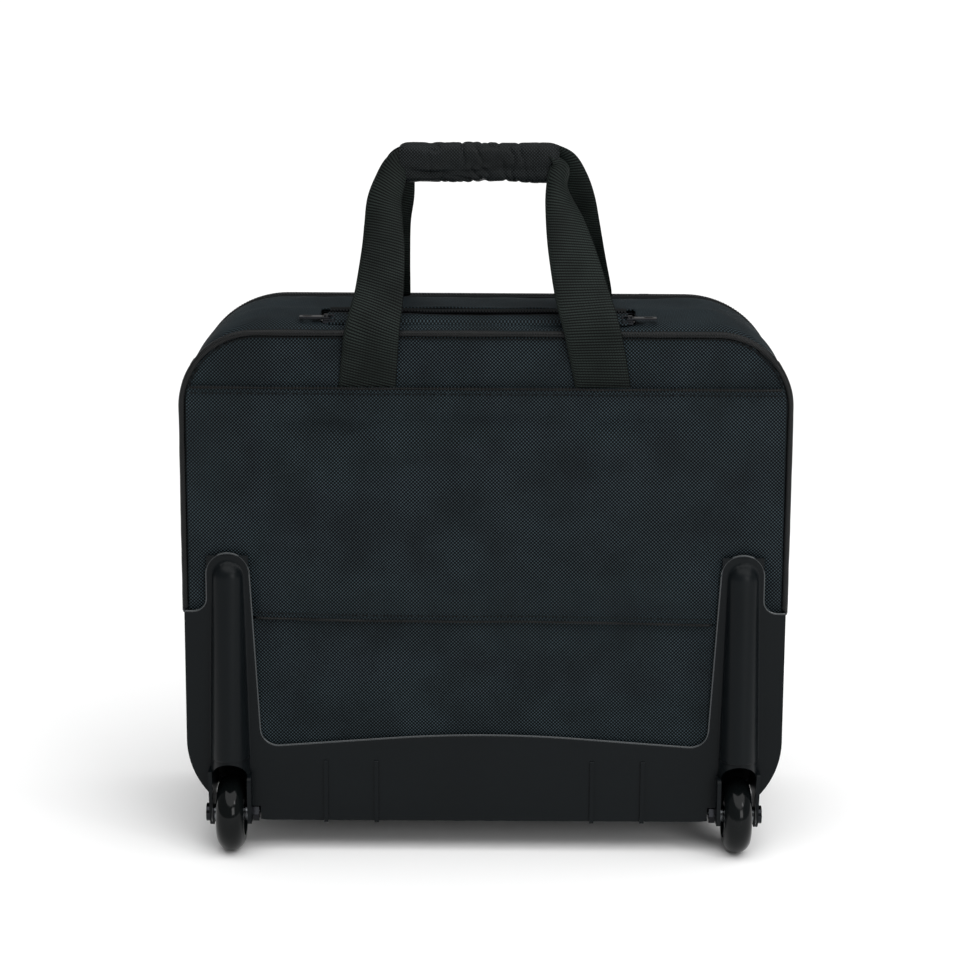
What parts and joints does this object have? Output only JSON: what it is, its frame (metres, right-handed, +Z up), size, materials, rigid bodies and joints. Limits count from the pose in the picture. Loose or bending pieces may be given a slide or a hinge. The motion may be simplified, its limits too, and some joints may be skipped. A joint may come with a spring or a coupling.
{
  "type": "rolling laptop case",
  "caption": "Soft rolling laptop case on a moulded base: wheel towers, pull-out trolley grip, webbing carry loops, zipped front and side rings.",
  "frame": {"origin": "on the floor under the middle of the case", "axes": "+Z up, -Y the back of the case with the wheels, +Y the front with the lid, +X to the right seen from the back"},
  "size_m": [0.4516, 0.199, 0.513],
  "materials": {
    "ballistic_nylon": "woven",
    "webbing": "woven",
    "zip_tape": "woven",
    "lining": "plain woven",
    "board": "extruded sheet",
    "moulded_black": "satin moulded",
    "gloss_black": "gloss moulded",
    "tyre_black": "cast polyurethane",
    "steel": "plated",
    "aluminium": "anodised",
    "black_zinc": "gloss coated"
  },
  "bodies": {
    "root": {"base_shell": "moulded_black", "tube_sockets": "moulded_black", "back_panel": "ballistic_nylon", "rear_gusset": "ballistic_nylon", "back_pocket": "ballistic_nylon", "rear_piping": "ballistic_nylon", "frame_board": "board", "bottom_board": "board", "laptop_sleeve": "lining", "outer_tubes": "aluminium", "tube_guides": "moulded_black", "trolley_bracket": "moulded_black", "handle_zip_rear": "zip_tape", "handle_zip_front": "zip_tape", "main_zip_rear": "zip_tape", "feet": "moulded_black", "foot_screws": "steel", "axle_bolts": "steel", "axle_nuts": "steel", "axle_washers": "steel", "rear_strap_tabs": "webbing", "front_strap_tabs": "webbing", "dring_tabs": "webbing"},
    "left_wheel": {"left_tyre": "tyre_black", "left_hub": "gloss_black", "left_bearings": "steel"},
    "right_wheel": {"right_tyre": "tyre_black", "right_hub": "gloss_black", "right_bearings": "steel"},
    "trolley_mid": {"mid_tubes": "aluminium", "mid_collars": "moulded_black"},
    "trolley_top": {"inner_tubes": "aluminium", "lock_plugs": "moulded_black", "grip_base": "moulded_black", "grip_cover": "moulded_black", "button_spring": "steel"},
    "release_button": {"release_button": "gloss_black", "push_link": "moulded_black", "push_rods": "steel"},
    "rear_loop": {"rear_webbing": "webbing", "grip_wrap": "ballistic_nylon"},
    "front_loop": {"front_webbing": "webbing"},
    "lid": {"lid_gusset": "ballistic_nylon", "lid_panel": "lining", "main_zip_lid": "zip_tape", "divider": "lining"},
    "pocket_front": {"pocket_panel": "ballistic_nylon"},
    "handle_slider_left": {"handle_slider_left": "black_zinc"},
    "handle_pull_left": {"handle_pull_left": "black_zinc"},
    "handle_slider_right": {"handle_slider_right": "black_zinc"},
    "handle_pull_right": {"handle_pull_right": "black_zinc"},
    "main_slider": {"main_slider": "black_zinc"},
    "main_pull": {"main_pull": "black_zinc"},
    "pocket_slider": {"pocket_slider": "black_zinc"},
    "pocket_pull": {"pocket_pull": "black_zinc"},
    "left_dring": {"left_dring": "black_zinc"},
    "right_dring": {"right_dring": "black_zinc"}
  },
  "joints": [
    {"name": "left_wheel_spin", "type": "hinge", "parent": "root", "child": "left_wheel", "pos_m": [-0.1846, -0.0715, 0.028], "axis": [1, 0, 0], "continuous": true},
    {"name": "right_wheel_spin", "type": "hinge", "parent": "root", "child": "right_wheel", "pos_m": [0.1846, -0.0715, 0.028], "axis": [1, 0, 0], "continuous": true},
    {"name": "trolley_mid_slide", "type": "slide", "parent": "root", "child": "trolley_mid", "axis": [0, 0, 1], "range_m": [0, 0.285]},
    {"name": "trolley_top_slide", "type": "slide", "parent": "trolley_mid", "child": "trolley_top", "axis": [0, 0, 1], "range_m": [0, 0.275]},
    {"name": "button_press", "type": "slide", "parent": "trolley_top", "child": "release_button", "axis": [0, 0, -1], "range_m": [0, 0.003], "stiffness_N_per_m": 1500, "springref_m": -0.003, "deforming": ["button_spring"]},
    {"name": "rear_loop_swing", "type": "hinge", "parent": "root", "child": "rear_loop", "pos_m": [0, -0.0766, 0.384], "axis": [-1, 0, 0], "range_deg": [-150, 0]},
    {"name": "front_loop_swing", "type": "hinge", "parent": "root", "child": "front_loop", "pos_m": [0, 0.0345, 0.3952], "axis": [-1, 0, 0], "range_deg": [0, 100]},
    {"name": "lid_open", "type": "hinge", "parent": "root", "child": "lid", "pos_m": [0, 0.0623, 0.0273], "axis": [-1, 0, 0], "range_deg": [0, 40]},
    {"name": "pocket_open", "type": "hinge", "parent": "lid", "child": "pocket_front", "pos_m": [0, 0.09585, 0.03], "axis": [-1, 0, 0], "range_deg": [0, 14]},
    {"name": "handle_slider_left_run", "type": "slide", "parent": "root", "child": "handle_slider_left", "axis": [-1, 0, 0], "range_m": [-0.098, 0]},
    {"name": "handle_pull_left_flip", "type": "hinge", "parent": "handle_slider_left", "child": "handle_pull_left", "pos_m": [-0.111, -0.0605, 0.3935], "axis": [0, 1, 0], "range_deg": [0, 170]},
    {"name": "handle_slider_right_run", "type": "slide", "parent": "root", "child": "handle_slider_right", "axis": [1, 0, 0], "range_m": [-0.098, 0]},
    {"name": "handle_pull_right_flip", "type": "hinge", "parent": "handle_slider_right", "child": "handle_pull_right", "pos_m": [0.099, -0.0605, 0.3935], "axis": [0, -1, 0], "range_deg": [0, 170]},
    {"name": "main_slider_run", "type": "slide", "parent": "root", "child": "main_slider", "axis": [0.0069, 0, 1], "range_m": [0, 0.21]},
    {"name": "main_pull_flip", "type": "hinge", "parent": "main_slider", "child": "main_pull", "pos_m": [0.22077, 0.0623, 0.096], "axis": [0, -1, 0], "range_deg": [-8, 124]},
    {"name": "pocket_slider_run", "type": "slide", "parent": "lid", "child": "pocket_slider", "axis": [1, 0, 0], "range_m": [-0.24, 0]},
    {"name": "pocket_pull_flip", "type": "hinge", "parent": "pocket_slider", "child": "pocket_pull", "pos_m": [0.12, 0.09103, 0.38573], "axis": [0, -0.8545, 0.5195], "range_deg": [0, 170]},
    {"name": "left_dring_swing", "type": "hinge", "parent": "root", "child": "left_dring", "pos_m": [-0.22048, 0.03, 0.306], "axis": [0, 1, 0], "range_deg": [0, 120]},
    {"name": "right_dring_swing", "type": "hinge", "parent": "root", "child": "right_dring", "pos_m": [0.22048, 0.03, 0.306], "axis": [0, -1, 0], "range_deg": [0, 120]}
  ]
}
